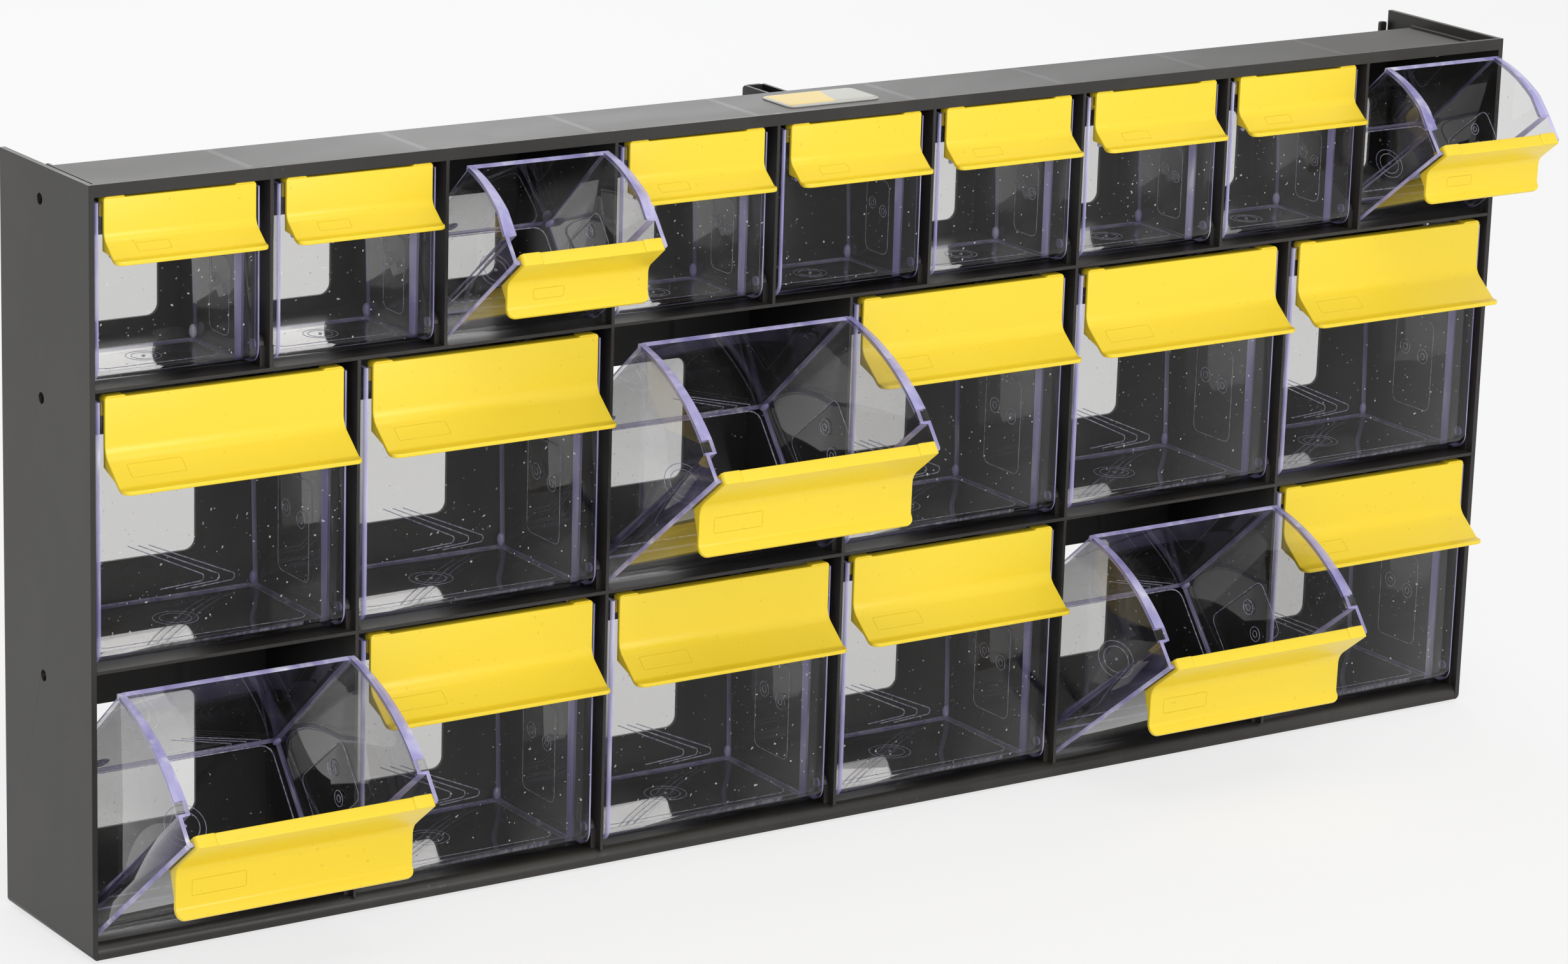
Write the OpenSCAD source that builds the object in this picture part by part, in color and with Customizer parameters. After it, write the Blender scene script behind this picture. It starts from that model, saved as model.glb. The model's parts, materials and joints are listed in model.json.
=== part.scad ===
// Parts bin cabinet: a black housing with three rows of clear bins that tip forward.
// Millimetres. X runs along the width, Y from the front to the wall, Z up.
// The housing is drawn from the front plane (y = 0) and its underside (z = 0), then set so
// that the origin is under the middle of the whole model, on the surface it stands on.

/* [Housing] */
// Overall width of the housing
body_w = 600; // [540:10:660]
// Depth from the front plane to the rear face
body_d = 66; // [66:1:80]
// How far the roof lies below the top of the beam in front of it
roof_drop = 3; // [2:0.5:4]
// How far the roof falls behind its level part
rear_fall = 6; // [4:0.5:7]
// Wall thickness of the side panels
side_t = 2; // [2:0.1:2.4]
// Thickness of the dividers between the bins
divider_t = 1.2; // [1:0.1:1.6]
// Thickness of the shelves between the rows
shelf_t = 1.2; // [1.2:0.1:1.6]
// Thickness of the back walls
back_t = 1.5; // [1.2:0.1:1.8]

/* [Rows] */
// Number of small bins in the top row
small_count = 9; // [8:1:9]
// Number of large bins in each lower row
large_count = 6; // [5:1:6]
// Clear height of the top row
small_clear = 64; // [64:1:68]
// Clear height of the lower rows
large_clear = 95; // [95:1:99]

/* [Bins] */
// Height of a large bin's front
large_front_h = 90.4; // [88:0.2:90.4]
// Depth of a large bin at the top of its rear wall
large_depth = 62.4; // [58:0.2:62.4]
// Height of a small bin's front
small_front_h = 60.8; // [58:0.2:60.8]
// Depth of a small bin at the top of its rear wall
small_depth = 43; // [38:0.5:50]
// Wall thickness of the clear bins
wall = 1.5; // [1.2:0.1:1.6]
// How far an open bin is tipped forward, in degrees
tilt = 52; // [0:1:52]
// Which bins of the top row are open
open_top = [3, 9]; // [1:1:8]
// Which bin of the middle row is open
open_middle = [3]; // [1:1:5]
// Which bins of the bottom row are open
open_bottom = [1, 5]; // [1:1:5]

/* [Handles] */
// Thickness of the yellow handle strip
strip_t = 1.5; // [1.2:0.1:1.6]
// Angle of the strip's flare from the vertical
flare_angle = 51; // [45:0.5:54]

/* [Hidden] */
$fn = 48;
eps = 0.01;

// Levels above the housing's underside
base_h = 5.4;
roof_t = 1.2;
foot_h = 1.2;
lower_floor = base_h;
middle_floor = lower_floor + large_clear + shelf_t;
upper_floor = middle_floor + large_clear + shelf_t;
ceiling = upper_floor + small_clear;
roof = ceiling + roof_t;
body_h = roof + roof_drop;

// Whole model: the open bins reach out as far in front as the housing is deep
mid_y = 1.1;
half_w = body_w / 2;
inner_half_w = half_w - side_t;
inner_d = body_d - back_t;

// Top panel: a beam along the front edge, then a level roof that falls at the rear
beam_t = 1.8;
flat_d = 45.5;
rail_in = 7;
rail_w = 1;
rail_h = 0.8;

// Base panel, a floor with a rounded sill and a skirt
floor_t = 2;
skirt_t = 2;
sill_r = 3.5;
foot_in = 4;
foot_w = 2;
foot_front = 3;

// Side panels
corner_r = 2;
side_hole_d = 4;
side_hole_y = 36;
side_hole_drop = 11;
top_hole_drop = 11.5;

// Openings in the back walls
large_window = [44, 45.5];
large_window_low = 16;
small_window = [49, 30];
small_window_low = 5;
window_r = 4;
blind_cell = 5;

// Pivots: short pins on the bins in bores of the bearing ears
bin_front_y = 1.7;
bin_lift = 0.9;
pivot_in = 6;
pin_d = 3.6;
pin_l = 2.2;
pin_clearance = 0.05;
bore_reach = 2.4;
ear_gap = 0.7;
ear_w = 9;
ear_crown_r = 3.6;
pivot_y = bin_front_y + pivot_in;
pivot_h = bin_lift + pivot_in;

// Bins
side_inset = 3.25;
strip_depth = 11.5;
step_in = 3;
rim_t = 1.2;
rim_end = 0.8;
large_floor_d = 59.3;
large_rear_h = 69.6;
large_reach = 85;
small_floor_d = 40;
small_rear_h = 48.8;
small_reach = 56.5;

// Handle strips; a size is [plate height, bend radius, flare length, lip length]
strip_inset = 2.35;
cap_h = 1.6;
hook_l = 5;
large_strip = [19.2, 7, 14, 4];
small_strip = [13.2, 4.5, 9, 3.2];
lip_r = 3;
fillet = 1;
tab_w = 8;
tab_h = 0.7;
web_t = 1.2;
web_drop = 4.5;
web_end = 1.5;

// Hanging tabs behind the top edge
tab_t = 1.5;
tab_drop = 4.5;
tab_l = 21.5;
middle_tab_w = 9;
side_tab_w = 3;
side_tab_in = 2.5;
brace_t = 1.2;

// Label place
label_size = [39.5, 20];
label_x = 3.3;
label_y = 18.5;
label_t = 0.9;
label_r = 3;

// ---- Helpers -------------------------------------------------------------------------------

// Distance between the middles of two neighbouring compartments
function pitch(count) = body_w / count;

// Middle of compartment i, counted from 1 at the left
function cell_x(i, count) = (i - 0.5) * pitch(count) - half_w;

// From the housing's own corner to the origin under the middle of the model
module placed() {
    translate([0, -mid_y, foot_h]) children();
}

// A side view (y, z) made solid along X, w wide and centred
module across(w) {
    rotate([90, 0, 90]) linear_extrude(height = w, center = true) children();
}

// A front view (x, z) made solid along Y between y0 and y1
module through(y0, y1) {
    translate([0, y1, 0]) rotate([90, 0, 0]) linear_extrude(height = y1 - y0) children();
}

// Rectangle with all four corners round
module round_plate(size, r) {
    translate([-size.x / 2 + r, 0]) square([size.x - 2 * r, size.y]);
    translate([-size.x / 2, r]) square([size.x, size.y - 2 * r]);
    for (x = [-1, 1], y = [r, size.y - r])
        translate([x * (size.x / 2 - r), y]) circle(r = r);
}

// ---- Housing -------------------------------------------------------------------------------

// Side view of a bearing ear standing on a shelf
module ear_outline() {
    translate([pivot_y - ear_w / 2, 0]) square([ear_w, pivot_h]);
    translate([pivot_y, pivot_h]) circle(r = ear_crown_r);
}

// Ear on a wall whose face is at x, growing towards side; z is the floor it stands on
module ear(x, side, gap, z) {
    thickness = gap - ear_gap;
    translate([x + side * thickness / 2, 0, z]) across(thickness) ear_outline();
}

// Bore for a bin's pin; it ends bore_reach from the bin's side
module pin_bore(x, side, gap, z) {
    reach = bore_reach - ear_gap + eps;
    translate([x + side * (gap - bore_reach + reach / 2), pivot_y, z + pivot_h])
        rotate([0, 90, 0])
            cylinder(d = pin_d + 2 * pin_clearance, h = reach, center = true);
}

// Side view of the space under the top panel, for the dividers of the top row
module top_row_outline() {
    polygon([
        [0, upper_floor], [inner_d, upper_floor], [inner_d, ceiling - rear_fall],
        [flat_d, ceiling], [0, ceiling]
    ]);
}

// Side panel; side is -1 on the left and 1 on the right
module side_panel(side) {
    gap = side_inset - side_t;
    floors = [lower_floor, middle_floor, upper_floor];
    holes = [
        middle_floor - shelf_t - side_hole_drop + 1.2,
        upper_floor - shelf_t - side_hole_drop + 1.4,
        body_h - top_hole_drop
    ];
    color([0.22, 0.21, 0.20]) placed() difference() {
        union() {
            through(0, body_d) mirror([side < 0 ? 1 : 0, 0]) {
                translate([inner_half_w, corner_r]) square([side_t, body_h - corner_r]);
                intersection() {
                    translate([half_w - corner_r, corner_r]) circle(r = corner_r);
                    translate([inner_half_w, 0]) square([side_t, corner_r]);
                }
            }
            for (z = floors) ear(side * inner_half_w, -side, gap, z);
        }
        for (z = floors) pin_bore(side * inner_half_w, -side, gap, z);
        for (z = holes)
            translate([side * (half_w - side_t / 2), side_hole_y, z])
                rotate([0, 90, 0]) cylinder(d = side_hole_d, h = side_t + 1, center = true);
    }
}

module side_panel_left() {
    side_panel(-1);
}

module side_panel_right() {
    side_panel(1);
}

// Roof behind a beam, level first and falling at the rear, with a low rail at each side
module top_panel() {
    color([0.27, 0.26, 0.25]) placed() {
        across(2 * inner_half_w) polygon([
            [0, ceiling], [flat_d, ceiling], [inner_d, ceiling - rear_fall],
            [body_d, ceiling - rear_fall], [body_d, roof - rear_fall], [flat_d, roof],
            [beam_t, roof], [beam_t, body_h], [0, body_h]
        ]);
        for (side = [-1, 1])
            translate([side * (half_w - rail_in - rail_w / 2), 0, 0])
                across(rail_w) translate([beam_t - eps, roof - eps])
                    square([flat_d - beam_t, rail_h]);
    }
}

// Floor of the bottom row, with a skirt and a rounded sill in front and two foot rails below
module base_panel() {
    color([0.22, 0.21, 0.20]) placed() {
        across(2 * inner_half_w) {
            square([skirt_t, base_h - sill_r + eps]);
            intersection() {
                translate([sill_r, base_h - sill_r]) circle(r = sill_r);
                translate([0, base_h - sill_r]) square(sill_r);
            }
            translate([sill_r - eps, base_h - floor_t])
                square([inner_d - sill_r + eps, floor_t]);
        }
        for (side = [-1, 1])
            translate([side * (half_w - foot_in - foot_w / 2), 0, 0])
                across(foot_w) translate([foot_front, -foot_h])
                    square([inner_d - foot_front, foot_h + base_h - floor_t + eps]);
    }
}

module shelf(floor_z) {
    color([0.20, 0.19, 0.18]) placed() translate([-inner_half_w, 0, floor_z - shelf_t])
        cube([2 * inner_half_w, inner_d, shelf_t]);
}

module upper_shelf() {
    shelf(upper_floor);
}

module lower_shelf() {
    shelf(middle_floor);
}

// Back wall between two heights, with one window in each compartment but the blind one
module back_wall(z0, z1, count, floor_z, window, window_low, blind) {
    color([0.20, 0.19, 0.18]) placed() through(inner_d, body_d) difference() {
        translate([-inner_half_w, z0]) square([2 * inner_half_w, z1 - z0]);
        for (i = [1:count])
            if (i != blind)
                translate([cell_x(i, count), floor_z + window_low])
                    round_plate(window, window_r);
    }
}

module back_wall_top() {
    back_wall(upper_floor - shelf_t / 2, ceiling - rear_fall, small_count, upper_floor,
              small_window, small_window_low, blind_cell);
}

module back_wall_middle() {
    back_wall(middle_floor - shelf_t / 2, upper_floor - shelf_t / 2, large_count,
              middle_floor, large_window, large_window_low, 0);
}

module back_wall_bottom() {
    back_wall(0, middle_floor - shelf_t / 2, large_count, lower_floor, large_window,
              large_window_low, 0);
}

// One row of dividers; the children are the side view of one divider
module dividers(count, floor_z) {
    gap = side_inset - divider_t / 2;
    color([0.20, 0.19, 0.18]) placed() for (i = [1:count - 1]) {
        x = i * pitch(count) - half_w;
        difference() {
            union() {
                translate([x, 0, 0]) across(divider_t) children();
                for (side = [-1, 1]) ear(x + side * divider_t / 2, side, gap, floor_z);
            }
            for (side = [-1, 1]) pin_bore(x + side * divider_t / 2, side, gap, floor_z);
        }
    }
}

module dividers_top() {
    dividers(small_count, upper_floor) top_row_outline();
}

module dividers_middle() {
    dividers(large_count, middle_floor)
        translate([0, middle_floor]) square([inner_d, large_clear]);
}

module dividers_bottom() {
    dividers(large_count, lower_floor)
        translate([0, lower_floor]) square([inner_d, large_clear]);
}

// Tabs by which the cabinet hangs on a rail: one in the middle, with two braces standing on
// the falling part of the roof, and one at each end
module hanging_tabs() {
    tab_top = body_h - tab_drop;
    brace_y = flat_d + (body_d - flat_d) * (roof - tab_top) / rear_fall;
    color([0.20, 0.19, 0.18]) placed() {
        through(body_d, body_d + tab_t) {
            translate([0, tab_top - tab_l]) round_plate([middle_tab_w, tab_l], middle_tab_w / 4);
            for (side = [-1, 1])
                translate([side * (half_w - side_tab_in - side_tab_w / 2), tab_top - tab_l])
                    round_plate([side_tab_w, tab_l], side_tab_w / 4);
        }
        for (side = [-1, 1])
            translate([side * (middle_tab_w - brace_t) / 2, 0, 0])
                across(brace_t) polygon([
                    [brace_y, tab_top], [body_d, roof - rear_fall],
                    [body_d + tab_t, roof - rear_fall], [body_d + tab_t, tab_top - 1],
                    [body_d + tab_t - 1, tab_top]
                ]);
    }
}

// Bare raised label on the level part of the roof
module label() {
    color([0.93, 0.80, 0.25]) placed() translate([label_x, label_y, roof])
        linear_extrude(height = label_t) round_plate(label_size, label_r);
}

// ---- Bins ----------------------------------------------------------------------------------
// A bin is drawn closed, from its outer lower front corner: w is the depth behind its front
// face and u the height above its bottom.

// Side view of a bin's outside, or of its inside when t is the wall thickness.
// The top follows an arc about the pins, so that it clears the shelf above as it tips.
module bin_outline(front_h, depth, floor_d, rear_h, t = 0) {
    lean = (depth - floor_d) / rear_h;
    top = front_h + (t > 0 ? 2 * wall : 0);
    polygon([
        [t, pivot_in], [t, top], [floor_d + lean * top - t, top],
        [floor_d + lean * t - t, t], [pivot_in, t]
    ]);
    translate([pivot_in, pivot_in]) circle(r = pivot_in - t);
}

module bin_body(count, front_h, depth, floor_d, rear_h, reach) {
    outer_w = pitch(count) - 2 * side_inset;
    body_in_w = outer_w - 2 * step_in;
    color([0.80, 0.79, 0.90, 0.45]) {
        difference() {
            union() {
                // broad strip behind the front face
                across(outer_w) intersection() {
                    bin_outline(front_h, depth, floor_d, rear_h);
                    square([strip_depth, front_h]);
                }
                // narrower body behind it
                across(body_in_w) intersection() {
                    bin_outline(front_h, depth, floor_d, rear_h);
                    translate([pivot_in, pivot_in]) circle(r = reach);
                }
                // rim along the curved top edge, fading out towards the rear
                intersection() {
                    across(outer_w) intersection() {
                        bin_outline(front_h, depth, floor_d, rear_h);
                        translate([strip_depth - eps, pivot_in]) square(reach);
                        translate([pivot_in, pivot_in]) difference() {
                            circle(r = reach);
                            circle(r = reach - rim_t);
                        }
                    }
                    linear_extrude(height = 2 * reach) polygon([
                        [-outer_w / 2, strip_depth - 1], [outer_w / 2, strip_depth - 1],
                        [body_in_w / 2 + rim_end, depth + 1],
                        [-body_in_w / 2 - rim_end, depth + 1]
                    ]);
                }
            }
            across(outer_w - 2 * wall) intersection() {
                bin_outline(front_h, depth, floor_d, rear_h, wall);
                square([strip_depth - wall, 2 * front_h]);
            }
            across(body_in_w - 2 * wall) bin_outline(front_h, depth, floor_d, rear_h, wall);
        }
        for (side = [-1, 1])
            translate([side * (outer_w + pin_l - eps) / 2, pivot_in, pivot_in])
                rotate([0, 90, 0]) cylinder(d = pin_d, h = pin_l + eps, center = true);
    }
}

// Point at distance l from p on a face that leans out from the vertical by angle
function along(p, angle, l) = p - l * [sin(angle), cos(angle)];

// Point at depth t behind the face at p
function behind(p, angle, t) = p + t * [cos(angle), -sin(angle)];

// Straight stretch of the strip, its front face running from p at the given angle
module leg(p, angle, l) {
    translate(p) rotate(-angle) translate([0, -l]) square([strip_t, l]);
}

// Where the flare ends and the level lip begins, on the front face
function kink(front_h, size) =
    along([-strip_t, front_h + cap_h - size[0]], flare_angle, size[2]);

// Side view of a handle strip without its lip: hook over the front wall, plate, bend, flare
module strip_outline(front_h, size) {
    top = front_h + cap_h;
    bend_r = size[1];
    corner = [-strip_t, top - size[0]];
    run = bend_r * tan(flare_angle / 2);
    fold = kink(front_h, size);
    translate([-strip_t, front_h]) square([2 * strip_t + wall, cap_h]);
    translate([wall, front_h - hook_l]) square([strip_t, hook_l + eps]);
    translate([-strip_t, corner.y + run]) square([strip_t, size[0] - run]);
    translate([-strip_t - bend_r, corner.y + run]) intersection() {
        difference() {
            circle(r = bend_r + strip_t);
            circle(r = bend_r);
        }
        polygon([
            [0, 0], [2 * bend_r, 0],
            [2 * bend_r * cos(flare_angle), -2 * bend_r * sin(flare_angle)]
        ]);
    }
    leg(along(corner, flare_angle, run - eps), flare_angle, size[2] - run + eps);
    polygon([
        along(fold, flare_angle, -fillet), fold - [fillet, 0], fold - [fillet, strip_t / 2],
        behind(fold, flare_angle, strip_t / 2)
    ]);
}

// The lip seen from above: level, with round corners in front, its rear under the flare
module lip_plan(w, reach) {
    translate([0, -reach]) intersection() {
        round_plate([w, 2 * reach + 2 * lip_r], lip_r);
        translate([-w, -1]) square([2 * w, 1 + reach + strip_t / 2]);
    }
}

// Side view of the web that closes each end of the strip below its plate
module web_outline(front_h, size) {
    corner = [-strip_t, front_h + cap_h - size[0]];
    run = size[1] * tan(flare_angle / 2);
    polygon([
        [-strip_t / 2, corner.y + run], [0, corner.y + run], [0, corner.y - web_drop],
        behind(along(corner, flare_angle, size[2] - web_end), flare_angle, strip_t / 2),
        behind(along(corner, flare_angle, run), flare_angle, strip_t / 2)
    ]);
}

// Handle strip, with a lip in front and with a web and a low tab at each end
module strip(count, front_h, size) {
    w = pitch(count) - 2 * (side_inset + strip_inset);
    fold = kink(front_h, size);
    color([0.95, 0.80, 0.22]) {
        across(w) strip_outline(front_h, size);
        translate([0, fold.x, fold.y - strip_t])
            linear_extrude(height = strip_t) lip_plan(w, size[3]);
        for (side = [-1, 1]) {
            translate([side * (w - web_t) / 2, 0, 0])
                across(web_t) web_outline(front_h, size);
            translate([side * (w - tab_w) / 2, 0, 0])
                across(tab_w) translate([-strip_t, front_h + cap_h - eps])
                    square([2 * strip_t + wall, tab_h + eps]);
        }
    }
}

// Puts a bin or strip in its compartment, tipped forward by the given angle
module in_cell(i, count, floor_z, angle) {
    placed() translate([cell_x(i, count), pivot_y, floor_z + pivot_h])
        rotate([angle, 0, 0]) translate([0, -pivot_in, -pivot_in]) children();
}

// Tilt of bin i in a row whose open bins are listed
function tilt_of(i, open_list) = len([for (n = open_list) if (n == i) n]) > 0 ? tilt : 0;

module small_bin() {
    bin_body(small_count, small_front_h, small_depth, small_floor_d, small_rear_h, small_reach);
}

module large_bin() {
    bin_body(large_count, large_front_h, large_depth, large_floor_d, large_rear_h, large_reach);
}

module bin_top(i) {
    in_cell(i, small_count, upper_floor, tilt_of(i, open_top)) small_bin();
}

module bin_middle(i) {
    in_cell(i, large_count, middle_floor, tilt_of(i, open_middle)) large_bin();
}

module bin_bottom(i) {
    in_cell(i, large_count, lower_floor, tilt_of(i, open_bottom)) large_bin();
}

module handle_top(i) {
    in_cell(i, small_count, upper_floor, tilt_of(i, open_top))
        strip(small_count, small_front_h, small_strip);
}

module handle_middle(i) {
    in_cell(i, large_count, middle_floor, tilt_of(i, open_middle))
        strip(large_count, large_front_h, large_strip);
}

module handle_bottom(i) {
    in_cell(i, large_count, lower_floor, tilt_of(i, open_bottom))
        strip(large_count, large_front_h, large_strip);
}

// ---- Assembly ------------------------------------------------------------------------------

side_panel_left();
side_panel_right();
top_panel();
base_panel();
upper_shelf();
lower_shelf();
back_wall_top();
back_wall_middle();
back_wall_bottom();
dividers_top();
dividers_middle();
dividers_bottom();
hanging_tabs();
label();
for (i = [1:small_count]) {
    bin_top(i);
    handle_top(i);
}
for (i = [1:large_count]) {
    bin_middle(i);
    handle_middle(i);
    bin_bottom(i);
    handle_bottom(i);
}
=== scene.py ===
import json
import math

import bmesh
import bpy
from mathutils import Matrix, Vector


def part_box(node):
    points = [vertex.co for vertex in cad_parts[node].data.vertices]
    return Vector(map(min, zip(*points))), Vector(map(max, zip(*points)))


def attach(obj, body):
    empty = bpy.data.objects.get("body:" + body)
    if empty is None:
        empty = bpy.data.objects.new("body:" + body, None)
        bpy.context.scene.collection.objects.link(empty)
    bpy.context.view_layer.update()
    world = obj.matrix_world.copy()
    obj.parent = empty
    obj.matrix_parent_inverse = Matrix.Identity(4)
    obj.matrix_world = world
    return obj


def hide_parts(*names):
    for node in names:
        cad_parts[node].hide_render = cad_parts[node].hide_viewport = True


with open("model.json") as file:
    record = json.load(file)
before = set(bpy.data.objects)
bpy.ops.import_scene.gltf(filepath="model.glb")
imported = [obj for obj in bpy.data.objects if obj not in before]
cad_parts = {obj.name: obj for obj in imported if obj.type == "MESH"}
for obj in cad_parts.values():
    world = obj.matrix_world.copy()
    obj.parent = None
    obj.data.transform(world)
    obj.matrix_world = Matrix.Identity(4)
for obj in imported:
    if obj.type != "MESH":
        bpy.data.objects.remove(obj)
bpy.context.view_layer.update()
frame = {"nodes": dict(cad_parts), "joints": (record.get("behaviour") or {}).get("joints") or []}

# ---- Camera --------------------------------------------------------------------------------
# It stands in front of the cabinet, left of it and above it, and looks down along its front.
# Place, aim and lens come from matching the corners of the housing and the rims of the open
# bins in the photograph.

CAMERA_PLACE = (-1.0273, -1.4813, 0.6324)
CAMERA_AZIMUTH, CAMERA_DOWN, CAMERA_ROLL = 34.06, 15.62, 1.79
CAMERA_LENS, SENSOR_W = 119.4, 36
CLIP_NEAR, CLIP_FAR = 0.1, 60
# the bins stand one behind another, and each wall has two faces to see through
FACES_SEEN_THROUGH = 64


def placed(name, data):
    """A new object in the scene, for a camera, a lamp or a mesh."""
    made = bpy.data.objects.new(name, data)
    bpy.context.scene.collection.objects.link(made)
    return made


camera_data = bpy.data.cameras.new("camera")
camera_data.lens, camera_data.sensor_width = CAMERA_LENS, SENSOR_W
camera_data.clip_start, camera_data.clip_end = CLIP_NEAR, CLIP_FAR
camera = placed("camera", camera_data)
camera.matrix_world = (
    Matrix.Translation(CAMERA_PLACE)
    @ Matrix.Rotation(math.radians(-CAMERA_AZIMUTH), 4, "Z")
    @ Matrix.Rotation(math.radians(90 - CAMERA_DOWN), 4, "X")
    @ Matrix.Rotation(math.radians(CAMERA_ROLL), 4, "Z")
)
bpy.context.scene.camera = camera
bpy.context.scene.view_settings.view_transform = "Standard"
bpy.context.scene.cycles.transparent_max_bounces = FACES_SEEN_THROUGH
bpy.context.scene.cycles.caustics_reflective = False

# ---- Studio --------------------------------------------------------------------------------
# A pale floor that runs out of sight and a bright plain surrounding, with a very broad soft
# lamp in front of the cabinet, a weak one above and one behind, whose light slides over the
# roof.


class Value:
    """A socket that works in Python expressions: each operator adds its Math node."""

    def __init__(self, tree, socket):
        self.tree, self.socket = tree, socket

    def math(self, operation, *others):
        node = self.tree.nodes.new("ShaderNodeMath")
        node.operation = operation
        for slot, value in zip(node.inputs, (self, *others)):
            feed(self.tree, slot, value)
        return Value(self.tree, node.outputs[0])

    def __add__(self, other):
        return self.math("ADD", other)

    def __sub__(self, other):
        return self.math("SUBTRACT", other)

    def __mul__(self, other):
        return self.math("MULTIPLY", other)

    def __rsub__(self, other):
        return (self * -1) + other

    def __pow__(self, other):
        return self.math("POWER", other)

    def __abs__(self):
        return self.math("ABSOLUTE")

    __radd__, __rmul__ = __add__, __mul__

    def larger(self, other):
        return self.math("MAXIMUM", other)

    def clamped(self, low=0.0, high=1.0):
        return self.math("MAXIMUM", low).math("MINIMUM", high)


def feed(tree, slot, value):
    """Sets a socket to a number or colour, or links it to a Value."""
    if isinstance(value, Value):
        tree.links.new(value.socket, slot)
    else:
        slot.default_value = value


class Finish:
    """A material, or the world, under construction."""

    def __init__(self, name, owner=None):
        self.material = owner or bpy.data.materials.new(name)
        self.material.use_nodes = True
        self.tree = self.material.node_tree
        self.tree.nodes.clear()
        kind = "World" if owner else "Material"
        self.output = self.tree.nodes.new("ShaderNodeOutput" + kind)

    def node(self, kind, out=0, settings=None, **sockets):
        """Any node: its settings first, then its sockets by name with _ for a space."""
        made = self.tree.nodes.new("ShaderNode" + kind)
        for key, value in (settings or {}).items():
            setattr(made, key, value)
        for name, value in sockets.items():
            feed(self.tree, made.inputs[name.replace("_", " ")], value)
        return Value(self.tree, made.outputs[out])

    def place(self, scale=(1, 1, 1)):
        """Object coordinates in metres, stretched for a pattern."""
        place = self.node("TexCoord", out="Object")
        return self.node("Mapping", Vector=place, Scale=scale)

    def axes(self):
        """The x, y and z of Object coordinates."""
        parts = self.node("SeparateXYZ", Vector=self.node("TexCoord", out="Object"))
        return [Value(self.tree, out) for out in parts.socket.node.outputs]

    def noise(self, scale, detail=2.0, stretch=(1, 1, 1), **more):
        """A noise pattern; stretch below 1 draws it out along that axis."""
        return self.node("TexNoise", Vector=self.place(stretch), Scale=scale, Detail=detail,
                         **more)

    def ramp(self, value, low, high, first=0.0, last=1.0):
        """Maps low..high to first..last, held at both ends."""
        return self.node("MapRange", settings={"clamp": True}, Value=value, From_Min=low,
                         From_Max=high, To_Min=first, To_Max=last)

    def mix(self, share, first, second):
        """Mixes two colours."""
        made = self.tree.nodes.new("ShaderNodeMix")
        made.data_type = "RGBA"
        sockets = (made.inputs[0], made.inputs[6], made.inputs[7])
        for slot, value in zip(sockets, (share, first, second)):
            feed(self.tree, slot, value)
        return Value(self.tree, made.outputs[2])

    def blend(self, share, first, second):
        """Mixes two shaders."""
        made = self.tree.nodes.new("ShaderNodeMixShader")
        for slot, value in zip(made.inputs, (share, first, second)):
            feed(self.tree, slot, value)
        return Value(self.tree, made.outputs[0])

    def seen(self):
        """1 where a ray from the camera, a reflection or a clear body meets the surface."""
        path = self.node("LightPath", out="Is Camera Ray")
        for kind in ("Is Glossy Ray", "Is Transmission Ray"):
            path = path.larger(self.node("LightPath", out=kind))
        return path

    def bump(self, height, strength, distance):
        return self.node("Bump", Height=height, Strength=strength, Distance=distance)

    def surface(self, shader):
        """Puts the shader on the output and gives the finished material."""
        self.tree.links.new(shader.socket, self.output.inputs["Surface"])
        return self.material


def rgb(r, g, b):
    """A colour given as it looks on a screen, 0 to 255, in the renderer's own numbers."""
    return tuple((c / 255 / 12.92) if c <= 10 else ((c / 255 + 0.055) / 1.055) ** 2.4
                 for c in (r, g, b)) + (1.0,)


WHITE = (1.0, 1.0, 1.0, 1.0)
FLOOR_HALF = 12.0
# how much of the floor's white is its own; the rest takes the cabinet's shadow
FLOOR_GLOW = 0.72
SKY_COLOUR, SKY_LEVEL = (0.98, 0.985, 1.0, 1.0), 0.52

floor_mesh = bmesh.new()
bmesh.ops.create_grid(floor_mesh, x_segments=1, y_segments=1, size=FLOOR_HALF)
floor_data = bpy.data.meshes.new("floor")
floor_mesh.to_mesh(floor_data)
floor_mesh.free()
floor = placed("floor", floor_data)

paper = Finish("floor_paper")
floor_data.materials.append(paper.surface(paper.blend(
    paper.seen() * FLOOR_GLOW,
    paper.node("BsdfPrincipled", Base_Color=rgb(250, 250, 250), Roughness=0.9),
    paper.node("Emission", Color=WHITE, Strength=1.0))))

world = bpy.data.worlds.new("studio")
bpy.context.scene.world = world
sky = Finish("studio", world)
sky.surface(sky.blend(
    sky.seen(),
    sky.node("Background", Color=SKY_COLOUR, Strength=SKY_LEVEL),
    sky.node("Background", Color=WHITE, Strength=1.0)))


def soft_lamp(name, place, aim, size, power):
    """A rectangular lamp at place, facing aim; sizes in metres, power in watts."""
    data = bpy.data.lights.new(name, "AREA")
    data.shape = "RECTANGLE"
    data.size, data.size_y = size
    data.energy = power
    lamp = placed(name, data)
    turn = (Vector(place) - Vector(aim)).to_track_quat("Z", "Y")
    lamp.matrix_world = Matrix.Translation(place) @ turn.to_matrix().to_4x4()
    lamp.visible_camera = False


CABINET_MIDDLE, CABINET_ROOF = (0, 0, 0.13), (0, 0, 0.27)
soft_lamp("front", place=(-0.25, -2.7, 0.95), aim=CABINET_MIDDLE, size=(2.2, 1.2), power=38)
soft_lamp("above", place=(-0.2, -0.9, 1.7), aim=CABINET_MIDDLE, size=(1.4, 0.8), power=6)
soft_lamp("rear", place=(0.15, 1.7, 0.85), aim=CABINET_ROOF, size=(2.2, 0.9), power=6.5)

# ---- Housing -------------------------------------------------------------------------------
# One large moulding in black satin polystyrene: side panels, roof, base, shelves, dividers
# and pierced back walls. The panels are the construction's own solids; only their edges are
# broken here, as a moulded edge is.

MM = 0.001
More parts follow.
